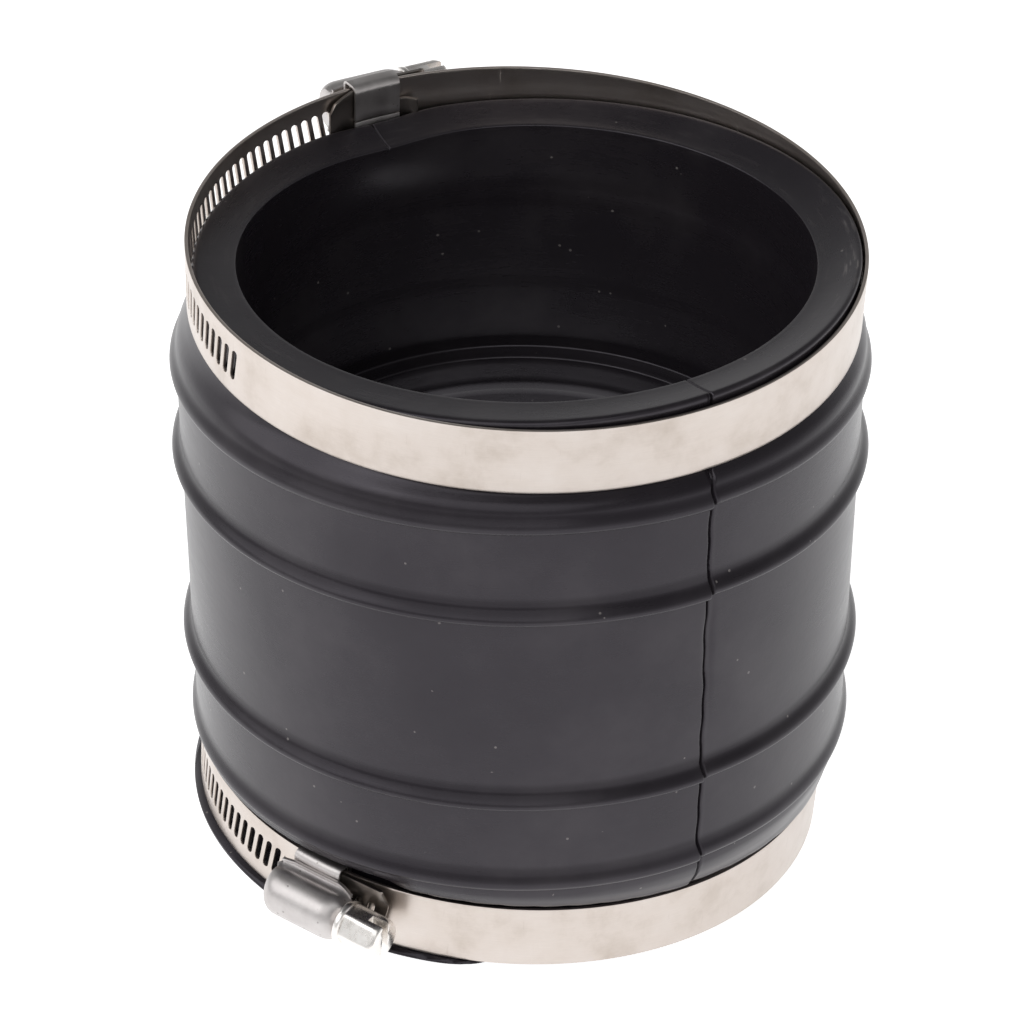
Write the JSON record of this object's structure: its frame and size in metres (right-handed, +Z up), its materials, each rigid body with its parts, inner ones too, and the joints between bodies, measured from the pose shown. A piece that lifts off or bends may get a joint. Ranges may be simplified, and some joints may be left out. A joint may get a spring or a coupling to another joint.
{
  "type": "pipe coupling",
  "caption": "Straight flexible rubber pipe coupling sleeve with raised beads, an inner pipe stop and a worm-drive steel clamp on each end.",
  "frame": {"origin": "middle of the floor space that the coupling takes up with its clamps, on the plane that it stands on; the sleeve's axis is the vertical line x = 0, y = -1.5 mm", "axes": "+Z up along the sleeve's axis, -Y towards the side that carries the lower clamp's screw, +X to the right seen from there"},
  "size_m": [0.121, 0.1283, 0.1231],
  "materials": {
    "rubber": "black moulded rubber, satin, with dusty handling marks",
    "strip_steel": "brushed stainless strip, finely scratched",
    "pressed_steel": "pressed stainless sheet, dull with die marks",
    "screw_steel": "stainless, barrel finished, bright"
  },
  "bodies": {
    "sleeve": {"sleeve": "rubber"},
    "upper_clamp": {"upper_band": "strip_steel", "upper_saddle": "strip_steel", "upper_housing": "pressed_steel"},
    "upper_screw": {"upper_screw": "screw_steel"},
    "upper_band_tail": {"upper_band_tail": "strip_steel"},
    "lower_clamp": {"lower_band": "strip_steel", "lower_saddle": "strip_steel", "lower_housing": "pressed_steel"},
    "lower_screw": {"lower_screw": "screw_steel"},
    "lower_band_tail": {"lower_band_tail": "strip_steel"}
  },
  "joints": [
    {"name": "upper_clamp_turn", "type": "hinge", "parent": "sleeve", "child": "upper_clamp", "pos_m": [0.0009, -0.0015, 0.1118], "axis": [0.0283, -0.0703, 0.9971], "continuous": true},
    {"name": "upper_screw_turn", "type": "hinge", "parent": "upper_clamp", "child": "upper_screw", "pos_m": [-0.02891, 0.05289, 0.11648], "axis": [-0.8772, -0.48, -0.0089], "range_deg": [-360, 1080]},
    {"name": "upper_band_travel", "type": "hinge", "parent": "upper_clamp", "child": "upper_band_tail", "pos_m": [0.0009, -0.0015, 0.1118], "axis": [-0.0283, 0.0703, -0.9971], "range_deg": [-2.5, 7.4]},
    {"name": "lower_clamp_turn", "type": "hinge", "parent": "sleeve", "child": "lower_clamp", "pos_m": [-0.0016, -0.0007, 0.0101], "axis": [0.067, 0.0204, 0.9975], "continuous": true},
    {"name": "lower_screw_turn", "type": "hinge", "parent": "lower_clamp", "child": "lower_screw", "pos_m": [-0.03648, -0.05209, 0.01349], "axis": [-0.8252, 0.5631, 0.0439], "range_deg": [-360, 1080]},
    {"name": "lower_band_travel", "type": "hinge", "parent": "lower_clamp", "child": "lower_band_tail", "pos_m": [-0.0016, -0.0007, 0.0101], "axis": [0.067, 0.0204, 0.9975], "range_deg": [-2.5, 7.4]}
  ],
  "couplings": [
    {"joint": "upper_band_travel", "follows": "upper_screw_turn", "ratio": 0.0066969},
    {"joint": "lower_band_travel", "follows": "lower_screw_turn", "ratio": 0.0066969}
  ]
}
